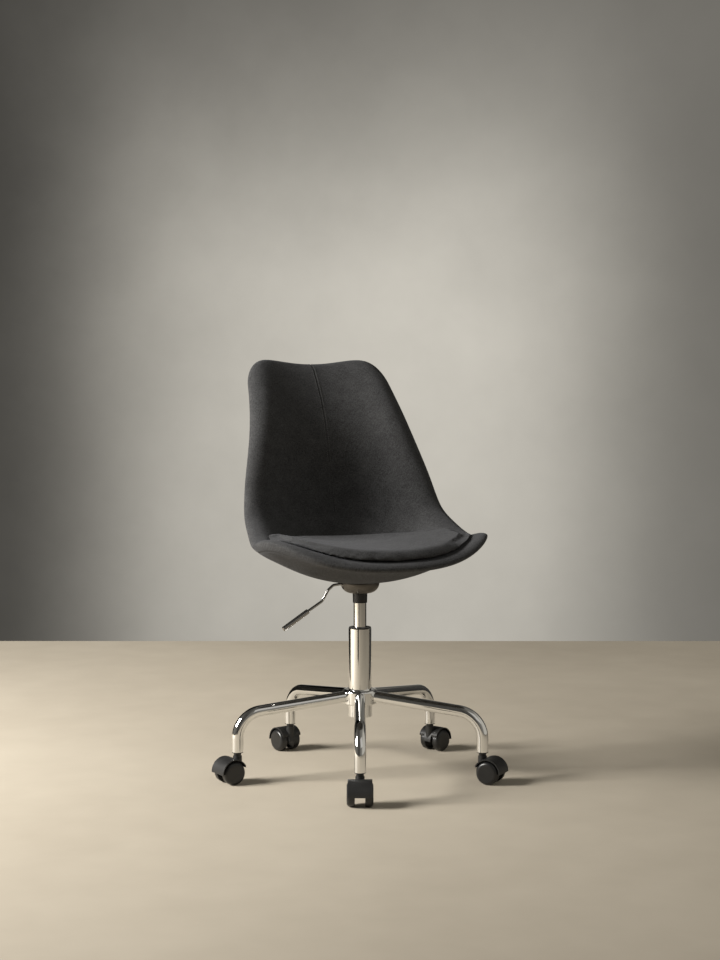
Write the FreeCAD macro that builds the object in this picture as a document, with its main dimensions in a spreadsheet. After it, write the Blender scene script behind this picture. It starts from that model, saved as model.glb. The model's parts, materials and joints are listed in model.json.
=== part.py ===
import FreeCAD, Part
import math
import os
import types
import Sketcher

# Swivel office chair: a padded bucket seat on a gas lift with a five-star tube base and twin-wheel casters.
# Millimetres. Origin on the floor under the swivel axis, +Z up, the sitter faces -Y.

doc = FreeCAD.newDocument("swivel_chair")

# ---------------------------------------------------------------------------------------------------
# Driving dimensions: one spreadsheet row each (alias, value, meaning)

SIZES = [
    ("base_radius", 276.4, "swivel axis to each caster stem"),
    ("base_turn", -110.5, "direction of the first leg, degrees from +X"),
    ("leg_count", 5, "legs of the star base"),
    ("leg_radius", 12.5, "outside radius of a leg tube"),
    ("leg_wall", 1.5, "wall of a leg tube"),
    ("leg_slope", 6, "fall of a leg towards its end, degrees"),
    ("leg_bend", 57, "centreline radius of the bend at the leg end"),
    ("leg_foot", 66, "height of the leg tube's open end"),
    ("leg_root", 171, "height of the leg centreline where it leaves the hub"),
    ("hub_radius", 37.5, "outside radius of the hub ring"),
    ("hub_top", 187, "height of the hub's top face"),
    ("hub_ring_depth", 32, "height of the hub ring"),
    ("hub_bottom", 127, "height of the hub sleeve's lower end"),
    ("hub_sleeve_wall", 2, "wall of the hub sleeve under the ring"),
    ("column_radius", 25, "outside radius of the outer tube of the lift"),
    ("column_wall", 1.5, "wall of the outer tube"),
    ("column_top", 321, "height of the outer tube's mouth"),
    ("column_bottom", 131, "height of the outer tube's lower end"),
    ("column_taper", 1, "radius lost by the outer tube inside the hub"),
    ("column_floor", 3, "thickness of the outer tube's bottom plate"),
    ("bush_length", 30, "length of the guide bush in the tube's mouth"),
    ("bush_flange", 2.4, "thickness of the bush's flange on the tube's mouth"),
    ("running_gap", 0.05, "radial clearance of a running fit"),
    ("free_gap", 0.3, "clearance between parts that only pass each other"),
    ("rod_radius", 5, "radius of the piston rod"),
    ("rod_end", 127.5, "height of the rod's lower end"),
    ("clip_radius", 9, "outside radius of the clip under the tube"),
    ("clip_thickness", 1.2, "thickness of the clip"),
    ("washer_radius", 16, "outside radius of the bearing washers"),
    ("washer_thickness", 1.8, "thickness of a bearing washer"),
    ("ball_radius", 1.6, "radius of a bearing ball"),
    ("ball_circle", 10.5, "radius of the circle that the balls run on"),
    ("ball_count", 12, "balls in the thrust bearing"),
    ("shoulder_radius", 8, "radius of the rod's shoulder on the bearing"),
    ("shoulder_height", 3, "height of the rod's shoulder"),
    ("bump_radius", 11, "outside radius of the rubber buffer"),
    ("bump_height", 12, "height of the rubber buffer"),
    ("cylinder_radius", 14, "outside radius of the gas cylinder"),
    ("cylinder_wall", 1.4, "wall of the gas cylinder"),
    ("cylinder_bottom", 229, "height of the gas cylinder's lower end"),
    ("cylinder_top", 401, "height of the gas cylinder's upper end"),
    ("cylinder_cap", 12, "thickness of the gas cylinder's upper end"),
    ("cylinder_lip", 2, "thickness of the lip that holds the seal"),
    ("seal_height", 14, "height of the seal and guide in the cylinder"),
    ("piston_bottom", 307, "height of the piston's underside"),
    ("piston_height", 18, "height of the piston"),
    ("collar_bottom", 377, "height of the taper socket's lower end"),
    ("collar_top", 404, "height of the taper socket's upper end"),
    ("collar_radius", 16.2, "outside radius of the taper socket at its top"),
    ("collar_draft", 0.6, "radius lost by the taper socket towards its lower end"),
    ("cylinder_taper", 0.8, "radius lost by the gas cylinder inside the socket"),
    ("pin_radius", 4, "radius of the valve pin"),
    ("pin_tip_radius", 2.5, "radius of the valve pin's upper end"),
    ("pin_bottom", 390, "height of the valve pin's lower end"),
    ("pin_step", 403, "height of the valve pin's step"),
    ("web_thickness", 2, "thickness of the lever bracket's web and walls"),
    ("bracket_half", 12, "half width of the lever bracket"),
    ("bracket_rear", 14, "reach of the lever bracket on the side away from the lever"),
    ("bracket_front", 27, "reach of the lever bracket on the lever's side"),
    ("plate_bottom", 416, "height of the seat plate's underside"),
    ("plate_thickness", 3, "thickness of the seat plate"),
    ("plate_radius", 30, "radius of the seat plate"),
    ("bolt_circle", 24, "radius of the circle of the plate bolts"),
    ("bolt_count", 4, "bolts that hold the plate to the seat shell"),
    ("bolt_radius", 3, "radius of a plate bolt"),
    ("bolt_head_radius", 4.5, "radius of a bolt head"),
    ("bolt_head_height", 2.2, "height of a bolt head"),
    ("insert_radius", 4.4, "outside radius of a threaded insert"),
    ("insert_height", 10, "height of a threaded insert"),
    ("bowl_radius", 42.5, "outside radius of the mechanism bowl"),
    ("bowl_gap", 2.5, "drop from the upholstery, at the pan station, to the mechanism bowl's rim"),
    ("bowl_depth", 22.5, "depth of the mechanism bowl"),
    ("bowl_wall", 1.2, "wall of the mechanism bowl"),
    ("lever_radius", 3, "radius of the lever rod"),
    ("lever_axis", 411.5, "height of the lever rod inside the bowl"),
    ("lever_pivot_reach", 22, "swivel axis to the lever's pivot pin"),
    ("pivot_radius", 1.5, "radius of the lever's pivot pin"),
    ("lever_slot_half", 4.5, "half width of the bowl's slot for the lever"),
    ("grip_radius", 5.5, "outside radius of the lever's grip sleeve"),
    ("grip_length", 68, "length of the lever's grip sleeve"),
    ("grip_cap", 3, "thickness of the grip's closed end"),
    ("caster_trail", 19.5, "caster stem axis to wheel axle"),
    ("wheel_radius", 25, "radius of a caster wheel"),
    ("wheel_width", 16.5, "width of a caster wheel"),
    ("wheel_gap", 21.5, "gap between the two wheels of a caster"),
    ("axle_radius", 3, "radius of a wheel axle"),
    ("axle_sink", 13, "how far the axle goes into each wheel"),
    ("hood_radius", 30, "outside radius of the caster hood"),
    ("hood_wall", 2, "wall of the caster hood's band"),
    ("hood_width", 50, "width of the caster hood's band"),
    ("hood_web", 19, "width of the caster's middle web"),
    ("hood_web_bottom", 24, "height of the middle web's underside"),
    ("hood_band_bottom", 24, "height of the hood band's rear edge"),
    ("hood_lead", 26, "how far the hood band reaches ahead of the axle"),
    ("boss_radius", 9.5, "radius of the caster's stem boss"),
    ("boss_top", 57, "height of the caster's stem boss"),
    ("stem_radius", 5.5, "radius of a caster stem"),
    ("stem_top", 90, "height of a caster stem's upper end"),
    ("stem_seat", 34, "height of a caster stem's lower end"),
    ("neck_radius", 8, "radius of the stem's collar under the leg"),
    ("groove_height", 80, "height of the stem's ring groove"),
    ("groove_width", 2.5, "width of the stem's ring groove"),
    ("groove_depth", 0.8, "depth of the stem's ring groove"),
    ("socket_flange", 1.5, "thickness of the leg socket's flange"),
    ("socket_length", 28, "length of the leg socket inside the tube"),
    ("front_reach", 245, "swivel axis to the seat's front lip"),
    ("back_reach", 339, "swivel axis to the top of the back, measured level"),
    ("pan_height", 436, "height of the lowest part of the shell's middle surface"),
    ("back_height", 903, "height of the top of the back"),
    ("seat_half_width", 254, "half width of the seat"),
    ("shoulder_half_width", 160, "half width of the top of the back"),
    ("side_lift", 96, "how high the sides stand above the middle of the shell"),
    ("lift_power", 2.15, "how sharply the sides turn up"),
    ("rim_flare", 12, "how far the side rims roll back from the sitter"),
    ("flare_start", 0.6, "share of the half width where the rims start to roll back"),
    ("front_round", 142, "reach of the rounded front corners"),
    ("top_round", 84, "reach of the rounded top corners"),
    ("top_dip", 6, "dip in the middle of the top edge"),
    ("core_half", 2, "half the thickness of the moulded shell"),
    ("core_inset", 8, "moulded shell's edge inside the upholstery's edge"),
    ("layer_gap", 0.4, "bond line between the shell and its upholstery"),
    ("padding", 10.1, "thickness of the foam and fabric on each face"),
    ("cushion_inset", 17, "seat cushion's edge inside the upholstery's edge"),
    ("cushion_rear", 388, "length of the seat's middle line that the cushion covers"),
    ("cushion_sweep", 38, "how far the cushion's rear edge comes forward at the sides"),
    ("cushion_level", 510, "height of the middle of the cushion's top"),
    ("cushion_dish", 40, "how much higher the cushion's top is at the seat's sides, level with the axis"),
    ("cushion_round", 40, "reach of the cushion's rounded edge"),
    ("cushion_edge", 7, "thickness of the cushion at its edge"),
]

# Turn of each caster about its stem at rest, in degrees from its leg's direction.
CASTER_TURNS = (0, -9, -5, 2, 16)

# Side profile of the bucket from the front lip to the top of the back. Each station has its place along
# the reach (front part times front_reach, rear part times back_reach), its share of the height from the
# pan to the top, its share of the width from shoulder to seat, and its share of the side lift.
STATIONS = (
    ("lip", -1.0, 0.081, 0.98, 0.17),
    ("front edge", -0.75, 0.083, 1.0, 0.58),
    ("pan", -0.205, 0.0, 1.0, 0.92),
    ("heel", 0.21, 0.053, 0.87, 1.0),
    ("waist", 0.44, 0.175, 0.76, 0.93),
    ("lumbar", 0.605, 0.437, 0.56, 0.83),
    ("mid back", 0.68, 0.657, 0.29, 0.54),
    ("top", 1.0, 1.0, 0.0, 0.27),
)

# The lever's rod outside its bracket: (distance from the swivel axis, height above the lever axis).
LEVER_ROUTE = ((31.5, 0), (44, 8), (62, 6), (73, -3.5), (88, -28), (119, -47.5), (174, -83.5))
LEVER_BENDS = (12, 12, 9, 9, 16, 16)

sheet = doc.addObject("Spreadsheet::Sheet", "Sizes")
for row, (alias, number, meaning) in enumerate(SIZES, start=1):
    sheet.set(f"A{row}", alias)
    sheet.set(f"B{row}", str(number))
    sheet.set(f"C{row}", meaning)
    sheet.setAlias(f"B{row}", alias)
doc.recompute()


class Size:
    """A number together with the spreadsheet expression that it comes from."""

    def __init__(self, value, text):
        self.value = value
        self.text = text

    def __add__(self, other):
        other = as_size(other)
        return Size(self.value + other.value, f"({self.text} + {other.text})")

    def __sub__(self, other):
        other = as_size(other)
        return Size(self.value - other.value, f"({self.text} - {other.text})")

    def __mul__(self, other):
        other = as_size(other)
        return Size(self.value * other.value, f"({self.text} * {other.text})")

    def __truediv__(self, other):
        other = as_size(other)
        return Size(self.value / other.value, f"({self.text} / {other.text})")

    def __radd__(self, other):
        return as_size(other) + self

    def __rsub__(self, other):
        return as_size(other) - self

    def __rmul__(self, other):
        return as_size(other) * self

    def __neg__(self):
        return as_size(0) - self


def as_size(number):
    """Return number as a Size; a plain number becomes its own expression."""
    if isinstance(number, Size):
        return number
    return Size(float(number), repr(float(number)) if number >= 0 else f"(0 - {repr(abs(float(number)))})")


def sine(angle):
    angle = as_size(angle)
    return Size(math.sin(math.radians(angle.value)), f"sin({angle.text} * 1 deg)")


def cosine(angle):
    angle = as_size(angle)
    return Size(math.cos(math.radians(angle.value)), f"cos({angle.text} * 1 deg)")


dims = types.SimpleNamespace(**{alias: Size(float(sheet.get(alias)), f"Sizes.{alias}") for alias, _, _ in SIZES})
FULL_TURN = 360
nodes = {}


# ---------------------------------------------------------------------------------------------------
# Helpers that make document objects bound to the spreadsheet

def place(obj, x=0, y=0, z=0, axis=(0, 0, 1), angle=0):
    """Turn obj about axis through its own origin, then move it to (x, y, z)."""
    turn = as_size(angle)
    obj.Placement = FreeCAD.Placement(FreeCAD.Vector(), FreeCAD.Rotation(FreeCAD.Vector(*axis), turn.value))
    for letter, distance in (("x", x), ("y", y), ("z", z)):
        obj.setExpression(f"Placement.Base.{letter}", as_size(distance).text)
    if isinstance(angle, Size):
        obj.setExpression("Placement.Rotation.Angle", f"{turn.text} * 1 deg")
    return obj


def primitive(kind, name, **properties):
    """Add a Part primitive whose properties are bound to the sheet."""
    obj = doc.addObject(f"Part::{kind}", name)
    for name_of_property, size in properties.items():
        obj.setExpression(name_of_property, as_size(size).text)
    return obj


def cylinder(name, radius, height):
    return primitive("Cylinder", name, Radius=radius, Height=height)


def box(name, low, high):
    """Add a box between two corners."""
    low = [as_size(value) for value in low]
    high = [as_size(value) for value in high]
    obj = primitive("Box", name, Length=high[0] - low[0], Width=high[1] - low[1], Height=high[2] - low[2])
    return place(obj, *low)


def cut(name, base, *tools):
    obj = doc.addObject("Part::Cut", name)
    obj.Base = base
    obj.Tool = tools[0] if len(tools) == 1 else fuse(f"{name}_tools", *tools)
    return obj


def fuse(name, *pieces):
    obj = doc.addObject("Part::MultiFuse", name)
    obj.Shapes = list(pieces)
    return obj


def group(name, pieces):
    """Keep separate solids together in one object."""
    obj = doc.addObject("Part::Compound", name)
    obj.Links = list(pieces)
    return obj


def keep(node, obj):
    """Name obj as a finished sub-part."""
    obj.Label = node
    nodes[node] = obj
    return obj


def origin_plane(body, role):
    return next(feature for feature in body.Origin.OriginFeatures if feature.Role == role)


def pin_vertex(sketch, curve, end, point):
    """Hold one end of a sketch curve at a point given by two sizes."""
    root_point = (-1, 1)
    for kind, size, axis_curve in (("DistanceX", point[0], -2), ("DistanceY", point[1], -1)):
        if size.text == "0.0":
            sketch.addConstraint(Sketcher.Constraint("PointOnObject", curve, end, axis_curve))
            continue
        index = sketch.addConstraint(Sketcher.Constraint(kind, *root_point, curve, end, size.value))
        sketch.setExpression(f"Constraints[{index}]", size.text)


def draw_profile(sketch, profile):
    """Draw a closed outline of points; an ("arc", centre, radius) entry bends the run it stands on."""
    points = [tuple(as_size(value) for value in entry) for entry in profile if entry[0] != "arc"]
    bends = {}
    count = 0
    for entry in profile:
        if entry[0] == "arc":
            bends[count - 1] = entry[1:]
        else:
            count += 1
    ends = []
    for index, start in enumerate(points):
        stop = points[(index + 1) % len(points)]
        a = FreeCAD.Vector(start[0].value, start[1].value, 0)
        b = FreeCAD.Vector(stop[0].value, stop[1].value, 0)
        if index not in bends:
            curve = sketch.addGeometry(Part.LineSegment(a, b), False)
            ends.append((curve, 1, 2))
            continue
        centre, radius = bends[index]
        middle = FreeCAD.Vector(as_size(centre[0]).value, as_size(centre[1]).value, 0)
        radius = as_size(radius)
        anticlockwise = (a - middle).cross(b - middle).z > 0
        first, last = (a, b) if anticlockwise else (b, a)
        angles = [math.atan2(p.y - middle.y, p.x - middle.x) for p in (first, last)]
        circle = Part.Circle(middle, FreeCAD.Vector(0, 0, 1), radius.value)
        curve = sketch.addGeometry(Part.ArcOfCircle(circle, *angles), False)
        index_of_radius = sketch.addConstraint(Sketcher.Constraint("Radius", curve, radius.value))
        sketch.setExpression(f"Constraints[{index_of_radius}]", radius.text)
        ends.append((curve, 1, 2) if anticlockwise else (curve, 2, 1))
    for index, (curve, start_end, _) in enumerate(ends):
        previous_curve, _, previous_end = ends[index - 1]
        sketch.addConstraint(Sketcher.Constraint("Coincident", previous_curve, previous_end, curve, start_end))
        pin_vertex(sketch, curve, start_end, points[index])


def turned(name, profile, angle=FULL_TURN):
    """Make a PartDesign body by turning an outline of (radius, height) points about Z."""
    body = doc.addObject("PartDesign::Body", name)
    sketch = body.newObject("Sketcher::SketchObject", f"{name}_profile")
    sketch.AttachmentSupport = [(origin_plane(body, "XZ_Plane"), "")]
    sketch.MapMode = "FlatFace"
    draw_profile(sketch, profile)
    turn = body.newObject("PartDesign::Revolution", f"{name}_turn")
    turn.Profile = sketch
    turn.ReferenceAxis = (sketch, ["V_Axis"])
    turn.Angle = angle
    body.Tip = turn
    return body


def around(count, radius, maker, first=0.0):
    """Make a ring of pieces: maker(index, x, y) at count even steps round the Z axis."""
    step = FULL_TURN / int(count.value)
    pieces = []
    for index in range(int(count.value)):
        angle = as_size(first + index * step)
        pieces.append(maker(index, radius * cosine(angle), radius * sine(angle)))
    return pieces


# ---------------------------------------------------------------------------------------------------
# Star base: hub with the column's taper, five bent tubes, sockets and stem rings

LEGS = int(dims.leg_count.value)
LEG_STEP = FULL_TURN / LEGS
sleeve_radius = dims.column_radius + dims.hub_sleeve_wall
hub_ring_bottom = dims.hub_top - dims.hub_ring_depth
leg_start = sleeve_radius + 2
leg_start_height = dims.leg_root + (dims.hub_radius - leg_start) * sine(dims.leg_slope) / cosine(dims.leg_slope)
bend_reach = dims.base_radius - dims.leg_bend
run_fall = (bend_reach + dims.leg_bend * sine(dims.leg_slope) - leg_start)
bend_height = (leg_start_height - run_fall * sine(dims.leg_slope) / cosine(dims.leg_slope)
               - dims.leg_bend * cosine(dims.leg_slope))
run_length = run_fall / cosine(dims.leg_slope)


def leg_angle(index):
    return dims.base_turn + index * LEG_STEP


def leg_run(name, radius, extra=0):
    """The sloping run of a leg, drawn along +X."""
    return place(cylinder(name, radius, run_length + extra), leg_start, 0, leg_start_height,
                 axis=(0, 1, 0), angle=90 + dims.leg_slope)


def leg_solid(name, radius, overrun):
    """Run, bend and drop of a leg as one solid; overrun opens the ends of the inner one."""
    run = leg_run(f"{name}_run", radius)
    bend = primitive("Torus", f"{name}_bend", Radius1=dims.leg_bend, Radius2=radius,
                     Angle3=90 - dims.leg_slope)
    place(bend, bend_reach, 0, bend_height, axis=(1, 0, 0), angle=90)
    drop = cylinder(f"{name}_drop", radius, bend_height - dims.leg_foot + overrun)
    place(drop, dims.base_radius, 0, dims.leg_foot - overrun)
    return fuse(name, run, bend, drop)


hub_blank = turned("hub_blank", [
    (dims.column_radius, dims.hub_top),
    (dims.hub_radius - 6, dims.hub_top),
    ("arc", (dims.hub_radius - 6, dims.hub_top - 6), 6),
    (dims.hub_radius, dims.hub_top - 6),
    (dims.hub_radius, hub_ring_bottom + 2),
    (dims.hub_radius - 2, hub_ring_bottom),
    (sleeve_radius, hub_ring_bottom),
    (sleeve_radius, dims.hub_bottom + 1),
    (sleeve_radius - 1, dims.hub_bottom),
    (dims.column_radius - dims.column_taper, dims.hub_bottom),
])
leg_seats = []
for index in range(LEGS):
    seat = group(f"leg_seat_{index + 1}", [leg_run(f"leg_seat_run_{index + 1}", dims.leg_radius)])
    leg_seats.append(place(seat, angle=leg_angle(index)))
keep("base_hub", cut("hub", hub_blank, *leg_seats))

for index in range(LEGS):
    outside = leg_solid(f"leg_outside_{index + 1}", dims.leg_radius, 0)
    inside = leg_solid(f"leg_inside_{index + 1}", dims.leg_radius - dims.leg_wall, 1)
    keep(f"leg_{index + 1}", place(cut(f"leg_tube_{index + 1}", outside, inside), angle=leg_angle(index)))


def at_leg_end(obj, index, turn=0):
    """Place obj, drawn about the caster stem axis, at the end of a leg."""
    direction = leg_angle(index)
    return place(obj, dims.base_radius * cosine(direction), dims.base_radius * sine(direction), 0,
                 angle=direction + turn)


socket_bore = dims.stem_radius + dims.running_gap
sockets = []
rings = []
for index in range(LEGS):
    socket = turned(f"socket_{index + 1}", [
        (socket_bore, dims.leg_foot - dims.socket_flange),
        (dims.leg_radius - 0.3, dims.leg_foot - dims.socket_flange),
        (dims.leg_radius - 0.3, dims.leg_foot),
        (dims.leg_radius - dims.leg_wall, dims.leg_foot),
        (dims.leg_radius - dims.leg_wall, dims.leg_foot + dims.socket_length - 1),
        (dims.leg_radius - dims.leg_wall - 1, dims.leg_foot + dims.socket_length),
        (socket_bore, dims.leg_foot + dims.socket_length),
    ])
    sockets.append(at_leg_end(socket, index))
    ring = turned(f"ring_{index + 1}", [
        (dims.stem_radius - dims.groove_depth + 0.1, dims.groove_height + 0.15),
        (socket_bore, dims.groove_height + 0.15),
        (socket_bore, dims.groove_height + dims.groove_width - 0.15),
        (dims.stem_radius - dims.groove_depth + 0.1, dims.groove_height + dims.groove_width - 0.15),
    ], angle=310)
    rings.append(at_leg_end(ring, index))
keep("leg_sockets", group("leg_sockets", sockets))
keep("stem_rings", group("stem_rings", rings))

# ---------------------------------------------------------------------------------------------------
# Gas lift: outer tube, bush, bearing, rod and piston, cylinder, seal and valve pin

taper_slope = dims.column_taper / (dims.hub_top - dims.hub_bottom)
column_end_radius = dims.column_radius - taper_slope * (dims.hub_top - dims.column_bottom)
column_bore = dims.column_radius - dims.column_wall
rod_hole = dims.rod_radius + dims.running_gap
floor_top = dims.column_bottom + dims.column_floor
keep("column_tube", turned("column_tube", [
    (rod_hole, dims.column_bottom),
    (column_end_radius, dims.column_bottom),
    (dims.column_radius, dims.hub_top),
    (dims.column_radius, dims.column_top - 0.6),
    (dims.column_radius - 0.6, dims.column_top),
    (column_bore, dims.column_top),
    (column_bore, dims.hub_top),
    (column_end_radius - dims.column_wall, floor_top),
    (rod_hole, floor_top),
]))
bush_bore = dims.cylinder_radius + dims.running_gap
bush_top = dims.column_top + dims.bush_flange
flange_radius = dims.column_radius - 0.7
keep("column_bush", turned("column_bush", [
    (bush_bore, dims.column_top - dims.bush_length),
    (column_bore, dims.column_top - dims.bush_length),
    (column_bore, dims.column_top),
    (flange_radius, dims.column_top),
    (flange_radius, bush_top - 0.6),
    (flange_radius - 0.6, bush_top),
    (bush_bore + 1.5, bush_top),
    (bush_bore, bush_top - 1.5),
]))

upper_washer = floor_top + dims.washer_thickness + dims.ball_radius * 2


def washer(name, height):
    ring = cylinder(f"{name}_disc", dims.washer_radius, dims.washer_thickness)
    hole = cylinder(f"{name}_hole", rod_hole, dims.washer_thickness)
    return place(cut(name, ring, hole), z=height)


def bearing_ball(index, x, y):
    ball = primitive("Sphere", f"ball_{index + 1}", Radius=dims.ball_radius)
    return place(ball, x, y, floor_top + dims.washer_thickness + dims.ball_radius)


bearing = [washer("lower_washer", floor_top), washer("upper_washer", upper_washer)]
bearing += around(dims.ball_count, dims.ball_circle, bearing_ball)
keep("thrust_bearing", group("thrust_bearing", bearing))

shoulder_bottom = upper_washer + dims.washer_thickness
shoulder_top = shoulder_bottom + dims.shoulder_height
cylinder_bore = dims.cylinder_radius - dims.cylinder_wall
clip_top = dims.column_bottom - dims.free_gap
keep("piston_rod", turned("piston_rod", [
    (0, dims.rod_end),
    (dims.rod_radius - 1, dims.rod_end),
    (dims.rod_radius, dims.rod_end + 1),
    (dims.rod_radius, shoulder_bottom),
    (dims.shoulder_radius, shoulder_bottom),
    (dims.shoulder_radius, shoulder_top),
    (dims.rod_radius, shoulder_top),
    (dims.rod_radius, dims.piston_bottom),
    (0, dims.piston_bottom),
]))
keep("rod_clip", turned("rod_clip", [
    (dims.rod_radius, clip_top - dims.clip_thickness),
    (dims.clip_radius, clip_top - dims.clip_thickness),
    (dims.clip_radius, clip_top),
    (dims.rod_radius, clip_top),
], angle=320))
keep("bump_stop", turned("bump_stop", [
    (dims.rod_radius, shoulder_top),
    (dims.bump_radius, shoulder_top),
    (dims.bump_radius, shoulder_top + dims.bump_height - 3),
    (dims.bump_radius - 3, shoulder_top + dims.bump_height),
    (dims.rod_radius, shoulder_top + dims.bump_height),
]))
piston_radius = cylinder_bore - dims.running_gap
keep("piston", turned("piston", [
    (0, dims.piston_bottom),
    (piston_radius - 1, dims.piston_bottom),
    (piston_radius, dims.piston_bottom + 1),
    (piston_radius, dims.piston_bottom + dims.piston_height - 1),
    (piston_radius - 1, dims.piston_bottom + dims.piston_height),
    (0, dims.piston_bottom + dims.piston_height),
]))

lip_top = dims.cylinder_bottom + dims.cylinder_lip
valve_bore = dims.pin_radius + dims.running_gap
keep("gas_cylinder", turned("gas_cylinder", [
    (cylinder_bore - 1.6, dims.cylinder_bottom),
    (dims.cylinder_radius - 1, dims.cylinder_bottom),
    (dims.cylinder_radius, dims.cylinder_bottom + 1),
    (dims.cylinder_radius, dims.collar_bottom),
    (dims.cylinder_radius - dims.cylinder_taper, dims.cylinder_top),
    (valve_bore, dims.cylinder_top),
    (valve_bore, dims.cylinder_top - dims.cylinder_cap),
    (cylinder_bore, dims.cylinder_top - dims.cylinder_cap),
    (cylinder_bore, lip_top),
    (cylinder_bore - 1.6, lip_top),
]))
keep("cylinder_seal", turned("cylinder_seal", [
    (rod_hole, lip_top),
    (cylinder_bore, lip_top),
    (cylinder_bore, lip_top + dims.seal_height),
    (rod_hole, lip_top + dims.seal_height),
]))
pin_top = dims.lever_axis - dims.lever_radius - dims.free_gap
keep("valve_pin", turned("valve_pin", [
    (0, dims.pin_bottom),
    (dims.pin_radius, dims.pin_bottom),
    (dims.pin_radius, dims.pin_step),
    (dims.pin_tip_radius, dims.pin_step),
    (dims.pin_tip_radius, pin_top),
    (0, pin_top),
]))

# ---------------------------------------------------------------------------------------------------
# Mechanism under the seat: taper socket, lever bracket, plate, bolts, bowl, lever

keep("taper_collar", turned("taper_collar", [
    (dims.cylinder_radius, dims.collar_bottom),
    (dims.collar_radius - dims.collar_draft, dims.collar_bottom),
    (dims.collar_radius, dims.collar_bottom + 22),
    (dims.collar_radius, dims.collar_top),
    (dims.cylinder_radius - dims.cylinder_taper, dims.collar_top),
    (dims.cylinder_radius - dims.cylinder_taper, dims.cylinder_top),
]))

web_top = dims.collar_top + dims.web_thickness
channel = box("channel", (-dims.bracket_front, -dims.bracket_half, dims.collar_top),
              (dims.bracket_rear, dims.bracket_half, dims.plate_bottom))
channel_inner = dims.bracket_half - dims.web_thickness
channel_room = box("channel_room", (-dims.bracket_front - 1, -channel_inner, web_top),
                   (dims.bracket_rear + 1, channel_inner, dims.plate_bottom + 1))
pin_way = place(cylinder("pin_way", dims.pin_radius + 1, dims.web_thickness + 2), z=dims.collar_top - 1)
pivot_length = dims.bracket_half * 2


def along_y(obj, x, z, half_length):
    """Lay a cylinder along Y, centred on the XZ plane."""
    return place(obj, x, half_length, z, axis=(1, 0, 0), angle=90)


pivot_hole = along_y(cylinder("pivot_hole", dims.pivot_radius, pivot_length),
                     -dims.lever_pivot_reach, dims.lever_axis, dims.bracket_half)
keep("lever_bracket", cut("bracket", channel, channel_room, pin_way, pivot_hole))
keep("lever_pivot", along_y(cylinder("lever_pivot", dims.pivot_radius, pivot_length),
                            -dims.lever_pivot_reach, dims.lever_axis, dims.bracket_half))

plate_top = dims.plate_bottom + dims.plate_thickness
plate_disc = place(cylinder("plate_disc", dims.plate_radius, dims.plate_thickness), z=dims.plate_bottom)


def bolt_at(name, radius, height, bottom):
    """Return a maker that puts an upright cylinder at each bolt position."""
    def maker(index, x, y):
        return place(cylinder(f"{name}_{index + 1}", radius, height), x, y, bottom)
    return maker


FIRST_BOLT = 45.0
plate_holes = around(dims.bolt_count, dims.bolt_circle,
                     bolt_at("plate_hole", dims.bolt_radius + 0.2, dims.plate_thickness, dims.plate_bottom),
                     FIRST_BOLT)
keep("seat_plate", cut("plate", plate_disc, *plate_holes))

insert_bottom = plate_top + 1


def plate_bolt(index, x, y):
    """A button-head bolt that passes the plate and fills its insert."""
    head_bottom = dims.plate_bottom - dims.bolt_head_height
    shank_length = dims.plate_thickness + 1 + dims.insert_height - 1
    head = place(cylinder(f"bolt_head_{index + 1}", dims.bolt_head_radius, dims.bolt_head_height),
                 x, y, head_bottom)
    shank = place(cylinder(f"bolt_shank_{index + 1}", dims.bolt_radius, shank_length), x, y, dims.plate_bottom)
    return fuse(f"bolt_{index + 1}", head, shank)


def shell_insert(index, x, y):
    """A threaded insert, moulded into the boss, that takes one bolt."""
    sleeve = cylinder(f"insert_sleeve_{index + 1}", dims.insert_radius, dims.insert_height)
    hole = cylinder(f"insert_hole_{index + 1}", dims.bolt_radius, dims.insert_height)
    return place(cut(f"insert_{index + 1}", sleeve, hole), x, y, insert_bottom)


keep("plate_bolts", group("plate_bolts", around(dims.bolt_count, dims.bolt_circle, plate_bolt, FIRST_BOLT)))
keep("shell_inserts", group("shell_inserts",
                            around(dims.bolt_count, dims.bolt_circle, shell_insert, FIRST_BOLT)))

bowl_top = dims.pan_height - dims.core_half - dims.layer_gap - dims.padding - dims.bowl_gap
bowl_bottom = bowl_top - dims.bowl_depth
bowl_corner = dims.bowl_radius - dims.bowl_depth
bowl_blank = turned("bowl_blank", [
    (dims.collar_radius + 0.15, bowl_bottom),
    (bowl_corner, bowl_bottom),
    ("arc", (bowl_corner, bowl_top), dims.bowl_depth),
    (dims.bowl_radius, bowl_top),
    (dims.bowl_radius - dims.bowl_wall, bowl_top),
    ("arc", (bowl_corner, bowl_top), dims.bowl_depth - dims.bowl_wall),
    (bowl_corner, bowl_bottom + dims.bowl_wall),
    (dims.collar_radius + 0.15, bowl_bottom + dims.bowl_wall),
])
lever_slot = box("lever_slot", (-dims.bowl_radius - 1, -dims.lever_slot_half, dims.lever_axis - 3.2),
                 (-dims.bracket_front, dims.lever_slot_half, bowl_top + 1))
keep("mechanism_bowl", cut("bowl", bowl_blank, lever_slot))


def rounded_route(points, bends):
    """Join points by straight runs and tangent arcs of the given radii, one for each inner point."""
    edges = []
    start = points[0]
    for index, radius in enumerate(bends, start=1):
        before, corner, after = points[index - 1], points[index], points[index + 1]
        inward = (before - corner).normalize()
        outward = (after - corner).normalize()
        half_angle = inward.getAngle(outward) / 2
        trim = radius / math.tan(half_angle)
        first = corner + inward * trim
        last = corner + outward * trim
        bisector = (inward + outward).normalize()
        middle = corner + bisector * (radius / math.sin(half_angle) - radius)
        edges.append(Part.LineSegment(start, first).toShape())
        edges.append(Part.Arc(first, middle, last).toShape())
        start = last
    edges.append(Part.LineSegment(start, points[-1]).toShape())
    return Part.Wire(edges)


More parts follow.
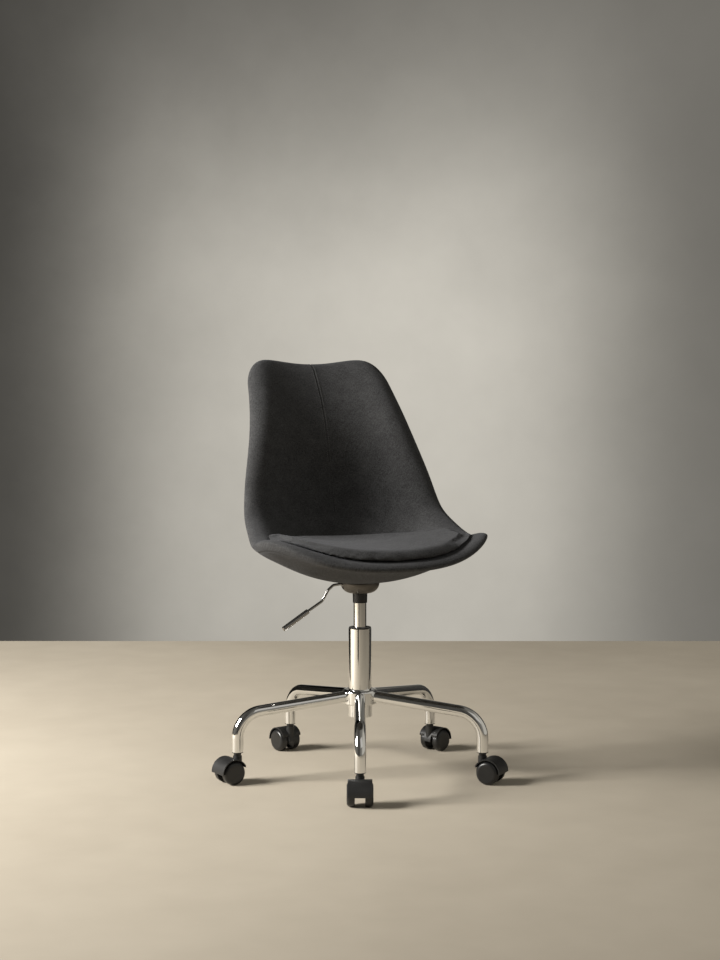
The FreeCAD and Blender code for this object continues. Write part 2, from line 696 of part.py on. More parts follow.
def feature(name, shape):
    """Put a shape that no primitive or sketch gives into the document."""
    obj = doc.addObject("Part::Feature", name)
    obj.Shape = shape
    obj.Placement = FreeCAD.Placement()
    return obj


route = [FreeCAD.Vector(1, 0, dims.lever_axis.value)]
route += [FreeCAD.Vector(-reach, 0, dims.lever_axis.value + rise) for reach, rise in LEVER_ROUTE]
lever_wire = rounded_route(route, LEVER_BENDS)
lever_section = Part.Wire(Part.Circle(route[0], FreeCAD.Vector(1, 0, 0), dims.lever_radius.value).toShape())
lever_shape = lever_wire.makePipeShell([lever_section], True, False)
lever_volume = math.pi * dims.lever_radius.value ** 2 * lever_wire.Length
print("lever rod: sweep volume over section times length", round(lever_shape.Volume / lever_volume, 4))
lever_sweep = feature("lever_sweep", lever_shape)
lever_bore = along_y(cylinder("lever_bore", dims.pivot_radius + dims.running_gap, dims.lever_radius * 4),
                     -dims.lever_pivot_reach, dims.lever_axis, dims.lever_radius * 2)
keep("lever_rod", cut("lever", lever_sweep, lever_bore))

grip_start = route[-2]
grip_line = (route[-1] - route[-2]).normalize()
grip_tilt = math.degrees(math.atan2(-grip_line.x, -grip_line.z))
grip_body = turned("grip", [
    (dims.lever_radius, 0),
    (dims.grip_radius - 1, 0),
    (dims.grip_radius, 1),
    (dims.grip_radius, dims.grip_length - 1.5),
    (dims.grip_radius - 1.5, dims.grip_length),
    (0, dims.grip_length),
    (0, dims.grip_length - dims.grip_cap + dims.free_gap),
    (dims.lever_radius, dims.grip_length - dims.grip_cap + dims.free_gap),
])
grip_base = route[-1] - grip_line * (dims.grip_length.value - dims.grip_cap.value)
keep("lever_grip", place(grip_body, grip_base.x, grip_base.y, grip_base.z,
                         axis=(0, 1, 0), angle=180 + grip_tilt))

# ---------------------------------------------------------------------------------------------------
# Casters: hood, stem, axle and two wheels, drawn with the stem on Z and the wheels trailing along +X

half_gap = dims.wheel_gap / 2
for index in range(LEGS):
    tag = index + 1
    turn = CASTER_TURNS[index]

    def lying(name, radius, width):
        """A cylinder along the axle, centred between the wheels."""
        obj = cylinder(f"{name}_{tag}", radius, width)
        return along_y(obj, dims.caster_trail, dims.wheel_radius, width / 2)

    hood_side = dims.hood_width / 2 + 1
    hood_rear = dims.caster_trail + dims.hood_radius + 1
    hood_low = dims.wheel_radius - dims.hood_radius - 1
    band = cut(f"hood_band_{tag}", lying("hood_outer", dims.hood_radius, dims.hood_width),
               lying("hood_inner", dims.hood_radius - dims.hood_wall, dims.hood_width + 2),
               box(f"hood_open_front_{tag}", (-dims.hood_radius, -hood_side, hood_low),
                   (dims.caster_trail - dims.hood_lead, hood_side, dims.boss_top)),
               box(f"hood_open_below_{tag}", (-dims.hood_radius, -hood_side, hood_low),
                   (hood_rear, hood_side, dims.hood_band_bottom)))
    web = cut(f"hood_web_{tag}", lying("hood_web_disc", dims.hood_radius, dims.hood_web),
              box(f"hood_web_below_{tag}", (-dims.hood_radius, -hood_side, hood_low),
                  (hood_rear, hood_side, dims.hood_web_bottom)))
    boss = place(cylinder(f"hood_boss_{tag}", dims.boss_radius, dims.boss_top - dims.hood_web_bottom),
                 z=dims.hood_web_bottom)
    stem_bore = place(cylinder(f"stem_bore_{tag}", dims.stem_radius, dims.boss_top - dims.stem_seat + 1),
                      z=dims.stem_seat)
    hood = cut(f"hood_{tag}", fuse(f"hood_solid_{tag}", band, web, boss),
               lying("axle_bore", dims.axle_radius, dims.hood_web + 2), stem_bore)
    keep(f"caster_hood_{tag}", at_leg_end(hood, index, turn))

    neck_top = dims.leg_foot - dims.socket_flange - dims.free_gap
    groove_radius = dims.stem_radius - dims.groove_depth
    stem = turned(f"stem_{tag}", [
        (0, dims.stem_seat),
        (dims.stem_radius, dims.stem_seat),
        (dims.stem_radius, dims.boss_top),
        (dims.neck_radius, dims.boss_top),
        (dims.neck_radius, neck_top),
        (dims.stem_radius, neck_top),
        (dims.stem_radius, dims.groove_height),
        (groove_radius, dims.groove_height),
        (groove_radius, dims.groove_height + dims.groove_width),
        (dims.stem_radius, dims.groove_height + dims.groove_width),
        (dims.stem_radius, dims.stem_top - 2),
        (dims.stem_radius - 2, dims.stem_top),
        (0, dims.stem_top),
    ])
    keep(f"caster_stem_{tag}", at_leg_end(stem, index, turn))

    axle = group(f"axle_{tag}", [lying("axle_pin", dims.axle_radius, dims.wheel_gap + dims.axle_sink * 2)])
    keep(f"wheel_axle_{tag}", at_leg_end(axle, index, turn))

    wheel_bore = dims.axle_radius + dims.running_gap
    for side, sign, tilt in (("left", 1, -90), ("right", -1, 90)):
        wheel = turned(f"wheel_{side}_{tag}", [
            (wheel_bore, 0),
            (7, 0),
            (8, 6),
            (20, 6),
            (21.5, 0),
            (dims.wheel_radius - 1, 0),
            (dims.wheel_radius, 1),
            (dims.wheel_radius, dims.wheel_width - 7.5),
            ("arc", (dims.wheel_radius - 7.5, dims.wheel_width - 7.5), 7.5),
            (dims.wheel_radius - 7.5, dims.wheel_width),
            (0, dims.wheel_width),
            (0, dims.axle_sink + dims.free_gap),
            (wheel_bore, dims.axle_sink + dims.free_gap),
        ])
        place(wheel, dims.caster_trail, sign * half_gap, dims.wheel_radius, axis=(1, 0, 0), angle=tilt)
        keep(f"wheel_{side}_{tag}", at_leg_end(group(f"wheel_{side}_set_{tag}", [wheel]), index, turn))

# ---------------------------------------------------------------------------------------------------
# Bucket seat: a middle surface through the stations, and the layers that lie on it


def natural_spline(knots, values):
    """Return a function that gives the natural cubic spline's value and slope at a knot distance."""
    count = len(knots)
    steps = [knots[i + 1] - knots[i] for i in range(count - 1)]
    slopes = [(values[i + 1] - values[i]) / steps[i] for i in range(count - 1)]
    diagonal = [1.0] * count
    right = [0.0] * count
    upper = [0.0] * count
    for i in range(1, count - 1):
        lower = steps[i - 1]
        diagonal[i] = 2 * (steps[i - 1] + steps[i]) - lower * upper[i - 1] / diagonal[i - 1]
        right[i] = 6 * (slopes[i] - slopes[i - 1]) - lower * right[i - 1] / diagonal[i - 1]
        upper[i] = steps[i]
    bending = [0.0] * count
    for i in range(count - 2, 0, -1):
        bending[i] = (right[i] - upper[i] * bending[i + 1]) / diagonal[i]

    def spline(distance):
        i = max(j for j in range(count - 1) if knots[j] <= distance or j == 0)
        step, local = steps[i], distance - knots[i]
        slope = slopes[i] - step * (2 * bending[i] + bending[i + 1]) / 6
        cubic = (bending[i + 1] - bending[i]) / (6 * step)
        value = values[i] + local * (slope + local * (bending[i] / 2 + local * cubic))
        return value, slope + local * (bending[i] + 3 * local * cubic)

    return spline


def station_values():
    """Turn the stations into four columns: y, z, half width and side lift."""
    columns = []
    for _, reach, rise, breadth, lift in STATIONS:
        y = reach * (dims.front_reach if reach < 0 else dims.back_reach).value
        z = dims.pan_height.value + rise * (dims.back_height - dims.pan_height).value
        half = dims.shoulder_half_width.value + breadth * (dims.seat_half_width - dims.shoulder_half_width).value
        columns.append((y, z, half, lift * dims.side_lift.value))
    return list(zip(*columns))


ys, zs, halves, lifts = station_values()
chain = [0.0]
for i in range(1, len(ys)):
    chain.append(chain[-1] + math.hypot(ys[i] - ys[i - 1], zs[i] - zs[i - 1]))
SEAT_LENGTH = chain[-1]
spline_y, spline_z, spline_half, spline_lift = (natural_spline(chain, column) for column in (ys, zs, halves, lifts))


def middle_point(across, along):
    """Point of the middle surface; across is in mm from the centre line, along is in mm from the lip."""
    y, y_slope = spline_y(along)
    z, z_slope = spline_z(along)
    speed = math.hypot(y_slope, z_slope)
    share = abs(across) / spline_half(along)[0]
    rolled = max(0.0, share - dims.flare_start.value) / (1 - dims.flare_start.value)
    lift = spline_lift(along)[0] * share ** dims.lift_power.value - dims.rim_flare.value * rolled ** 3
    return FreeCAD.Vector(across, y - z_slope / speed * lift, z + y_slope / speed * lift)


def middle_normal(across, along):
    """Unit normal of the middle surface, towards the sitter."""
    nudge = 0.5
    sideways = middle_point(across + nudge, along) - middle_point(across - nudge, along)
    forwards = middle_point(across, along + nudge) - middle_point(across, along - nudge)
    return sideways.cross(forwards).normalize()


def front_edge(share, inset):
    """Distance from the lip where the seat starts, at a share of its half width."""
    return inset + (dims.front_round.value - inset) * (1 - math.sqrt(max(0.0, 1 - share ** 2)))


def top_edge(share, inset):
    """Distance from the lip where the back ends."""
    dip = dims.top_dip.value * (1 - share ** 2) ** 4
    corner = (dims.top_round.value - inset) * (1 - math.sqrt(max(0.0, 1 - abs(share) ** 6)))
    return SEAT_LENGTH - inset - dip - corner


def cushion_end(share, inset):
    """Distance from the lip where the seat cushion ends, with rounded rear corners."""
    corner = 40 * (1 - math.sqrt(max(0.0, 1 - abs(share) ** 8)))
    return dims.cushion_rear.value - dims.cushion_sweep.value * share ** 2 - corner


def resample(points, count):
    """Return count + 1 points at even distances along a polyline."""
    travel = [0.0]
    for (x0, y0), (x1, y1) in zip(points, points[1:]):
        travel.append(travel[-1] + math.hypot(x1 - x0, y1 - y0))
    result = []
    segment = 0
    for step in range(count + 1):
        target = travel[-1] * step / count
        while segment < len(points) - 2 and travel[segment + 1] < target:
            segment += 1
        share = (target - travel[segment]) / (travel[segment + 1] - travel[segment])
        (x0, y0), (x1, y1) = points[segment], points[segment + 1]
        result.append((x0 + share * (x1 - x0), y0 + share * (y1 - y0)))
    return result


ACROSS = 24
ALONG = 28
FINE = 60


def outline_grid(inset, end_edge, front_corner=0.8, end_corner=0.9):
    """Grid of (across, along) places that fills the seat's outline, set in by inset."""
    def place_at(share, along):
        return share * (spline_half(along)[0] - inset), along

    def edge_points(edge, low, high):
        angles = [math.asin(low) + (math.asin(high) - math.asin(low)) * i / FINE for i in range(FINE + 1)]
        return [place_at(math.sin(a), edge(math.sin(a), inset)) for a in angles]

    front = resample(edge_points(front_edge, -front_corner, front_corner), ACROSS)
    rear = resample(edge_points(end_edge, -end_corner, end_corner), ACROSS)
    lower, upper = front_edge(1, inset), end_edge(1, inset)
    straight = [place_at(1, lower + (upper - lower) * i / FINE) for i in range(1, FINE)]
    side = edge_points(front_edge, front_corner, 1) + straight + edge_points(end_edge, end_corner, 1)[::-1]
    side = resample(side, ALONG)
    grid = []
    for i in range(ACROSS + 1):
        p = i / ACROSS
        row = []
        for j in range(ALONG + 1):
            q = j / ALONG
            left, right = (-side[j][0], side[j][1]), side[j]
            blend = []
            for k in (0, 1):
                edges = (1 - q) * front[i][k] + q * rear[i][k] + (1 - p) * left[k] + p * right[k]
                corners = ((1 - p) * (1 - q) * front[0][k] + p * (1 - q) * front[-1][k]
                           + (1 - p) * q * rear[0][k] + p * q * rear[-1][k])
                blend.append(edges - corners)
            row.append(tuple(blend))
        grid.append(row)
    return grid


def solid_between(lower, upper):
    """Solid between two faces; lower and upper give a face's point at a grid place (i, j)."""
    faces = []
    surfaces = []
    for point_at in (lower, upper):
        points = [[point_at(i, j) for j in range(ALONG + 1)] for i in range(ACROSS + 1)]
        surface = Part.BSplineSurface()
        surface.interpolate(points)
        surfaces.append(surface)
        faces.append(surface.toShape())
    bottom, top = surfaces
    first_u, last_u, first_v, last_v = bottom.bounds()
    top_u0, top_u1, top_v0, top_v1 = top.bounds()
    pairs = ((bottom.uIso(first_u), top.uIso(top_u0)), (bottom.uIso(last_u), top.uIso(top_u1)),
             (bottom.vIso(first_v), top.vIso(top_v0)), (bottom.vIso(last_v), top.vIso(top_v1)))
    for low_curve, high_curve in pairs:
        faces.append(Part.makeRuledSurface(low_curve.toShape(), high_curve.toShape()))
    shell = Part.Shell(faces)
    shell.sewShape()
    solid = Part.Solid(shell)
    if solid.Volume < 0:
        solid.reverse()
    return solid


def layer_solid(grid, lower, upper):
    """Layer of the bucket between two offsets of its middle surface, each given at a grid place (i, j)."""
    def face(offset):
        return lambda i, j: middle_point(*grid[i][j]) + middle_normal(*grid[i][j]) * offset(i, j)

    return solid_between(face(lower), face(upper))


def at_rim(i, j):
    """Whether a grid place is on the outline."""
    return i in (0, ACROSS) or j in (0, ALONG)


def constant(distance):
    return lambda i, j: distance


core_grid = outline_grid(dims.core_inset.value, top_edge)
pad_grid = outline_grid(0, top_edge)
inner_face = dims.core_half.value + dims.layer_gap.value
RIM_SHARE = 0.45
pad_depth = dims.padding.value


def padded(sign):
    """Outer face of a pad, thinner along its rim."""
    return lambda i, j: sign * (inner_face + pad_depth * (RIM_SHARE if at_rim(i, j) else 1))


keep("seat_shell", feature("seat_core", layer_solid(
    core_grid, constant(-dims.core_half.value), constant(dims.core_half.value))))
keep("front_upholstery", feature("front_pad", layer_solid(pad_grid, constant(inner_face), padded(1))))
rear_layer = feature("rear_pad", layer_solid(pad_grid, padded(-1), constant(-inner_face)))
boss_hole = place(cylinder("boss_hole", dims.plate_radius + dims.free_gap, 60), z=plate_top - 5)
keep("rear_upholstery", cut("rear_pad_open", rear_layer, boss_hole))

boss_depth = 30
boss_layer = feature("boss_layer", layer_solid(core_grid, constant(-boss_depth), constant(-dims.core_half.value)))
boss_blank = place(cylinder("boss_blank", dims.plate_radius, 60), z=plate_top)
boss_common = doc.addObject("Part::Common", "boss_common")
boss_common.Base = boss_blank
boss_common.Tool = boss_layer
insert_pockets = around(dims.bolt_count, dims.bolt_circle,
                        bolt_at("insert_pocket", dims.insert_radius, dims.insert_height + 1, plate_top),
                        FIRST_BOLT)
keep("shell_boss", cut("boss", boss_common, *insert_pockets))

cushion_grid = outline_grid(dims.cushion_inset.value, cushion_end, end_corner=0.86)
cushion_bottom = inner_face + pad_depth + dims.free_gap.value


def cushion_foot(i, j):
    """Point of the cushion's underside."""
    return middle_point(*cushion_grid[i][j]) + middle_normal(*cushion_grid[i][j]) * cushion_bottom


def cushion_top(i, j):
    """Point of the cushion's top: nearly level, a little higher at the sides, rounded down at the edges."""
    foot = cushion_foot(i, j)
    reach = dims.cushion_round.value
    side_run = min(i, ACROSS - i) * 2 * dims.seat_half_width.value / ACROSS
    front_run = j * dims.cushion_rear.value / ALONG
    fullness = 1.0
    for run in (side_run, front_run):
        fullness *= math.sqrt(1 - (1 - min(1.0, run / reach)) ** 2)
    rear_share = 1 + foot.y / dims.front_reach.value
    level = (dims.cushion_level.value
             + dims.cushion_dish.value * rear_share * (foot.x / dims.seat_half_width.value) ** 2)
    edge = dims.cushion_edge.value
    height = edge + max(0.0, level - foot.z - edge) * fullness
    return foot + FreeCAD.Vector(0, 0, height)


keep("seat_cushion", feature("cushion", solid_between(cushion_foot, cushion_top)))

# ---------------------------------------------------------------------------------------------------
# Check and write

doc.recompute()
problems = [f"{obj.Label}: {obj.State}" for obj in doc.Objects if {"Invalid", "Error"} & set(obj.State)]
for node, obj in nodes.items():
    if obj.Shape.isNull() or not obj.Shape.isValid() or not obj.Shape.Solids:
        problems.append(f"{node}: no valid solid")
    elif min(solid.Volume for solid in obj.Shape.Solids) <= 0:
        problems.append(f"{node}: a solid with no volume")
if problems:
    raise RuntimeError("; ".join(problems))

os.makedirs("parts", exist_ok=True)
for node, obj in nodes.items():
    obj.Shape.exportStep(f"parts/{node}.step")
box_of_all = FreeCAD.BoundBox()
for obj in nodes.values():
    box_of_all.add(obj.Shape.BoundBox)
print(len(nodes), "sub-parts, overall", [round(value, 1) for value in (
    box_of_all.XLength, box_of_all.YLength, box_of_all.ZLength)])
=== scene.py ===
# %% [markdown]
# # A swivel office chair
# The chair is a padded bucket seat on a gas lift, with a five-legged chromed tube base and twin-wheel
# casters. Its hard parts come ready made and in place, each on the body that it moves with. This file
# gives them their finishes and makes what is sewn and stuffed: the upholstery of the bucket, its centre
# seam with the stitches, and the seat cushion. Everything is in metres, Z is up, and the sitter faces -Y.

# %% Load the frame and its record
import json
import math

import bmesh
import bpy
import numpy as np
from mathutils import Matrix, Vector


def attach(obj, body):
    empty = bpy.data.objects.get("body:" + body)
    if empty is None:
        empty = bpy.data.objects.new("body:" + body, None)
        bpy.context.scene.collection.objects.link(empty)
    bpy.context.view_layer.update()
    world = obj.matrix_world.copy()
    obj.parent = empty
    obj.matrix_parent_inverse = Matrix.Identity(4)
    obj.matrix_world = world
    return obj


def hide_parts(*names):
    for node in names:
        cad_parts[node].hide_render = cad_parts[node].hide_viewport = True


MM = 0.001
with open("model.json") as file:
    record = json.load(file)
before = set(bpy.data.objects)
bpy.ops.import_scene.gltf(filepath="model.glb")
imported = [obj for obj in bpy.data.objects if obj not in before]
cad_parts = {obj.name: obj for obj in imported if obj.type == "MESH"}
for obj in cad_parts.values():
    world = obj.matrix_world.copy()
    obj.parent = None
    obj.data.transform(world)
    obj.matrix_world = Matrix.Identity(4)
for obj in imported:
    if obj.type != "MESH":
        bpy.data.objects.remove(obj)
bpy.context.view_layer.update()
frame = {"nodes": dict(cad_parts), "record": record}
nodes = frame["nodes"]

# %% [markdown]
# ## Shader maths
# A finish is a small network of nodes. Wiring each node by hand hides the idea, so a node's output is
# wrapped in a class that adds a Math node for every + - * /, and all other nodes come from one method.

# %% A value in a shader


class Value:
    """An output socket that can stand in a formula."""

    def __init__(self, finish, socket):
        self.finish = finish
        self.socket = socket

    def maths(self, operation, *terms):
        return self.finish.node("ShaderNodeMath", {"operation": operation}, dict(enumerate(terms)))

    def __add__(self, other):
        return self.maths("ADD", self, other)

    def __sub__(self, other):
        return self.maths("SUBTRACT", self, other)

    def __rsub__(self, other):
        return self.maths("SUBTRACT", other, self)

    def __mul__(self, other):
        return self.maths("MULTIPLY", self, other)

    def __truediv__(self, other):
        return self.maths("DIVIDE", self, other)

    __radd__ = __add__
    __rmul__ = __mul__

    def sine(self):
        return self.maths("SINE", self)

    def absolute(self):
        return self.maths("ABSOLUTE", self)

    def exponential(self):
        return self.maths("EXPONENT", self)

    def clamped(self, low=0.0, high=1.0):
        return self.maths("MINIMUM", self.maths("MAXIMUM", self, low), high)


# %% A finish


class Finish:
    """A node tree, of a material unless one is given, and the method that adds its nodes."""

    def __init__(self, name, tree=None):
        if tree is None:
            self.material = bpy.data.materials.new(name)
            self.material.use_nodes = True
            tree = self.material.node_tree
        self.tree = tree
        self.tree.nodes.clear()

    def node(self, kind, settings=None, sockets=None, output=0):
        """Add a node: its settings first, then the values or links of its sockets."""
        made = self.tree.nodes.new(kind)
        for name, setting in (settings or {}).items():
            setattr(made, name, setting)
        for name, term in (sockets or {}).items():
            if isinstance(term, Value):
                self.tree.links.new(term.socket, made.inputs[name])
            else:
                made.inputs[name].default_value = term
        return Value(self, made.outputs[output]) if made.outputs else None

    def noise(self, scale, detail=2.0, place=None, output=0, **sockets):
        """Soft noise at so many features a metre."""
        place = place or self.node("ShaderNodeTexCoord", output="Object")
        return self.node("ShaderNodeTexNoise", None,
                         {"Vector": place, "Scale": scale, "Detail": detail, **sockets}, output)

    def blend(self, share, first, second):
        """A colour between two colours."""
        return self.node("ShaderNodeMix", {"data_type": "RGBA"},
                         {"Factor": share, 6: first, 7: second}, output=2)

    def bump(self, height, distance, strength=1.0):
        return self.node("ShaderNodeBump", None,
                         {"Height": height, "Distance": distance, "Strength": strength})

    def surface(self, **sockets):
        """End the network in one Principled surface and return the material."""
        named = {name.replace("_", " "): term for name, term in sockets.items()}
        shader = self.node("ShaderNodeBsdfPrincipled", None, named)
        self.node("ShaderNodeOutputMaterial", None, {"Surface": shader})
        return self.material


def grey(level):
    """A colour with equal parts."""
    return (level, level, level, 1.0)


# %% [markdown]
# ## The finishes of the hard parts
# Chrome plate is a near-perfect mirror with faint polishing haze, so its roughness is what varies. The
# mould-textured plastics get a fine grain in their bump, and the steels a brushed haze. One function makes
# a metal and one a plastic, because the parts of a chair differ only in these few numbers.

# %% Metals


def metal(name, colour, roughness, haze, grain=900.0, grain_depth=0.0):
    """Plated or bare metal; haze is how far the roughness wanders."""
    finish = Finish(name)
    broad = finish.noise(38.0, 3.0)
    fine = finish.noise(420.0, 2.0)
    wander = (broad - 0.5) * 1.3 + (fine - 0.5) * 0.5
    rough = (wander * haze + roughness).clamped(0.02, 1.0)
    dust = (broad * 1.6 - 0.75).clamped() * 0.25
    tint = finish.blend(dust, colour, tuple(part * 0.86 for part in colour[:3]) + (1.0,))
    sockets = {"Base_Color": tint, "Metallic": 1.0, "Roughness": rough}
    if grain_depth:
        sockets["Normal"] = finish.bump(finish.noise(grain, 2.0), grain_depth, 0.35)
    return finish.surface(**sockets)


# %% Plastics and rubber


def moulded(name, colour, roughness, grain=2200.0, grain_depth=0.00006, sheen=0.0):
    """Moulded plastic, enamel or rubber with a fine texture, paler where hands and dust rub it."""
    finish = Finish(name)
    patches = finish.noise(26.0, 4.0)
    speckle = finish.noise(grain, 2.0)
    worn = tuple(part * 1.9 + 0.006 for part in colour[:3]) + (1.0,)
    tint = finish.blend((patches * 1.8 - 0.7).clamped() * 0.55, colour, worn)
    rough = ((patches - 0.5) * 0.22 + (speckle - 0.5) * 0.12 + roughness).clamped(0.05, 1.0)
    return finish.surface(Base_Color=tint, Roughness=rough, Sheen_Weight=sheen,
                          Normal=finish.bump(speckle, grain_depth, 0.5))


# %% One finish for each slot of the record

finishes = {
    "chrome": metal("chrome", (0.86, 0.86, 0.85, 1), 0.055, 0.05),
    "dark_chrome": metal("dark_chrome", (0.36, 0.35, 0.34, 1), 0.16, 0.08),
    "bowl_metal": metal("bowl_metal", (0.13, 0.12, 0.108, 1), 0.44, 0.12, 1400.0, 0.00004),
    "bearing_steel": metal("bearing_steel", (0.56, 0.56, 0.56, 1), 0.2, 0.1),
    "spring_steel": metal("spring_steel", (0.30, 0.30, 0.31, 1), 0.32, 0.12),
    "zinc_steel": metal("zinc_steel", (0.60, 0.60, 0.58, 1), 0.36, 0.14, 1800.0, 0.00003),
    "brass": metal("brass", (0.72, 0.52, 0.22, 1), 0.28, 0.1),
    "black_plastic": moulded("black_plastic", grey(0.012), 0.42),
    "caster_plastic": moulded("caster_plastic", grey(0.013), 0.46),
    "wheel_nylon": moulded("wheel_nylon", grey(0.011), 0.33, 1600.0, 0.00003),
    "black_enamel": moulded("black_enamel", grey(0.006), 0.34, 700.0, 0.00003),
    "rubber": moulded("rubber", grey(0.016), 0.75, 1300.0, 0.00008),
    "shell_plastic": moulded("shell_plastic", grey(0.05), 0.55),
}
print(len(finishes), "finishes for the hard parts")

# %% [markdown]
# ## The fabric
# The cover is a woven upholstery cloth of mixed charcoal yarns. Light and dark fibres are spun into each
# yarn, so every thread changes tone along its length. The weave is worked out from the place on the chair:
# X counts the warp threads, and Y + Z counts the weft, because both grow from the front lip to the top of
# the back. That needs no unwrapping, and it carries over a seam or a remeshed cushion.

# %% Charcoal weave
THREAD = 1.3 * MM
LIGHT_YARN = 0.38


def woven_cloth(name, dark, light):
    finish = Finish(name)
    place = finish.node("ShaderNodeTexCoord", output="Object")
    parts = finish.node("ShaderNodeSeparateXYZ", None, {"Vector": place})
    y = Value(finish, parts.socket.node.outputs[1])
    z = Value(finish, parts.socket.node.outputs[2])
    x, run = parts, y + z
    turns = math.pi / THREAD
    warp = (x * turns).sine()
    weft = (run * turns).sine()
    warp_over = warp * weft
    crown = warp.absolute() * (warp_over + 1) + weft.absolute() * (1 - warp_over)

    def yarn(across, along, shift):
        """Tone of a yarn: quick changes from thread to thread, slower ones along it."""
        at = finish.node("ShaderNodeCombineXYZ", None, {0: across, 1: along, 2: shift})
        return finish.node("ShaderNodeTexNoise", None, {"Vector": at, "Scale": 1.0, "Detail": 3.0,
                                                        "Roughness": 0.62})

    warp_tone = yarn(x / THREAD, run / (THREAD * 7), 3.0)
    weft_tone = yarn(run / THREAD, x / (THREAD * 7), 11.0)
    share = (warp_over * 4 + 0.5).clamped()
    tone = warp_tone * share + weft_tone * (1 - share)
    cloud = finish.noise(34.0, 3.0, place)
    heather = finish.noise(420.0, 2.0, place)
    mix = ((tone - 0.5) * 1.6 + (heather - 0.5) * 0.8 + (cloud - 0.5) * 0.35 + LIGHT_YARN).clamped()
    colour = finish.blend(mix, dark, light)
    fuzz = finish.noise(1500.0, 2.0, place)
    height = crown * 0.35 + fuzz * 0.35 + tone * 0.3
    rough = (0.95 - mix * 0.16).clamped()
    return finish.surface(Base_Color=colour, Roughness=rough, Sheen_Weight=0.07, Sheen_Roughness=0.5,
                          Sheen_Tint=(0.9, 0.92, 1.0, 1.0), Specular_IOR_Level=0.06,
                          Normal=finish.bump(height, 0.00035, 0.55))


finishes["charcoal_fabric"] = woven_cloth(
    "charcoal_fabric", (0.018, 0.018, 0.0185, 1), (0.112, 0.113, 0.116, 1))

# %% [markdown]
# ## Finish the hard parts
# The record says which material slot each part has, so a loop gives every part its finish. Their shapes
# are right as they are.

# %% Dress the hard parts
slot_of = {part["node"]: part["material_slot"] for part in frame["record"]["subparts"]}
for name, part in nodes.items():
    part.data.materials.clear()
    part.data.materials.append(finishes[slot_of[name]])
print("dressed", len(nodes), "parts")

# %% [markdown]
# ## The bucket's surface
# The bucket is a moulded shell with foam and cloth on both faces. Its middle surface has one side profile
# from the front lip to the top of the back, given at eight stations, and at each station the sides rise
# towards the sitter. Natural cubic splines through the stations keep it smooth. The same formula places
# the cover, the seam and the cushion, so they fit each other.

# %% Driving sizes of the bucket
FRONT_REACH, BACK_REACH = 245 * MM, 339 * MM
PAN_HEIGHT, BACK_HEIGHT = 436 * MM, 903 * MM
SEAT_HALF, SHOULDER_HALF = 254 * MM, 160 * MM
SIDE_LIFT, LIFT_POWER = 96 * MM, 2.15
FRONT_ROUND, TOP_ROUND, TOP_DIP = 142 * MM, 84 * MM, 6 * MM
RIM_FLARE, FLARE_START = 12 * MM, 0.6
RIM_ROLL, ROLL_START, CORNER_RISE = 24 * MM, 0.76, 8 * MM
COVER_HALF = 12.5 * MM

# Shares of reach, height, width and side lift at the lip, front edge, pan, heel, waist, lumbar, mid, top.
STATIONS = (
    (-1.0, 0.081, 0.98, 0.17),
    (-0.75, 0.083, 1.0, 0.58),
    (-0.205, 0.0, 1.0, 0.92),
    (0.21, 0.053, 0.87, 1.0),
    (0.44, 0.175, 0.76, 0.93),
    (0.605, 0.437, 0.56, 0.83),
    (0.68, 0.657, 0.29, 0.54),
    (1.0, 1.0, 0.0, 0.27),
)

# %% Splines through the stations


def spline_through(knots, values):
    """Natural cubic spline: returns a function that gives value and slope at an array of distances."""
    steps = np.diff(knots)
    slopes = np.diff(values) / steps
    system = np.eye(len(knots))
    right = np.zeros(len(knots))
    for i in range(1, len(knots) - 1):
        system[i, i - 1:i + 2] = steps[i - 1], 2 * (steps[i - 1] + steps[i]), steps[i]
        right[i] = 6 * (slopes[i] - slopes[i - 1])
    bending = np.linalg.solve(system, right)

    def spline(distance):
        i = np.clip(np.searchsorted(knots, distance, side="right") - 1, 0, len(steps) - 1)
        local = distance - knots[i]
        slope = slopes[i] - steps[i] * (2 * bending[i] + bending[i + 1]) / 6
        cubic = (bending[i + 1] - bending[i]) / (6 * steps[i])
        value = values[i] + local * (slope + local * (bending[i] / 2 + local * cubic))
        return value, slope + local * (bending[i] + 3 * local * cubic)

    return spline


shares = np.array(STATIONS)
station_y = shares[:, 0] * np.where(shares[:, 0] < 0, FRONT_REACH, BACK_REACH)
station_z = PAN_HEIGHT + shares[:, 1] * (BACK_HEIGHT - PAN_HEIGHT)
station_half = SHOULDER_HALF + shares[:, 2] * (SEAT_HALF - SHOULDER_HALF)
chain = np.concatenate(([0.0], np.cumsum(np.hypot(np.diff(station_y), np.diff(station_z)))))
LENGTH = chain[-1]
profile_y = spline_through(chain, station_y)
profile_z = spline_through(chain, station_z)
profile_half = spline_through(chain, station_half)
profile_lift = spline_through(chain, shares[:, 3] * SIDE_LIFT)
print("the bucket's middle line is", round(LENGTH, 4), "m long")

# %% Points and normals of the middle surface


def eased(share):
    """A smooth step from 0 to 1."""
    share = np.clip(share, 0, 1)
    return share ** 2 * (3 - 2 * share)


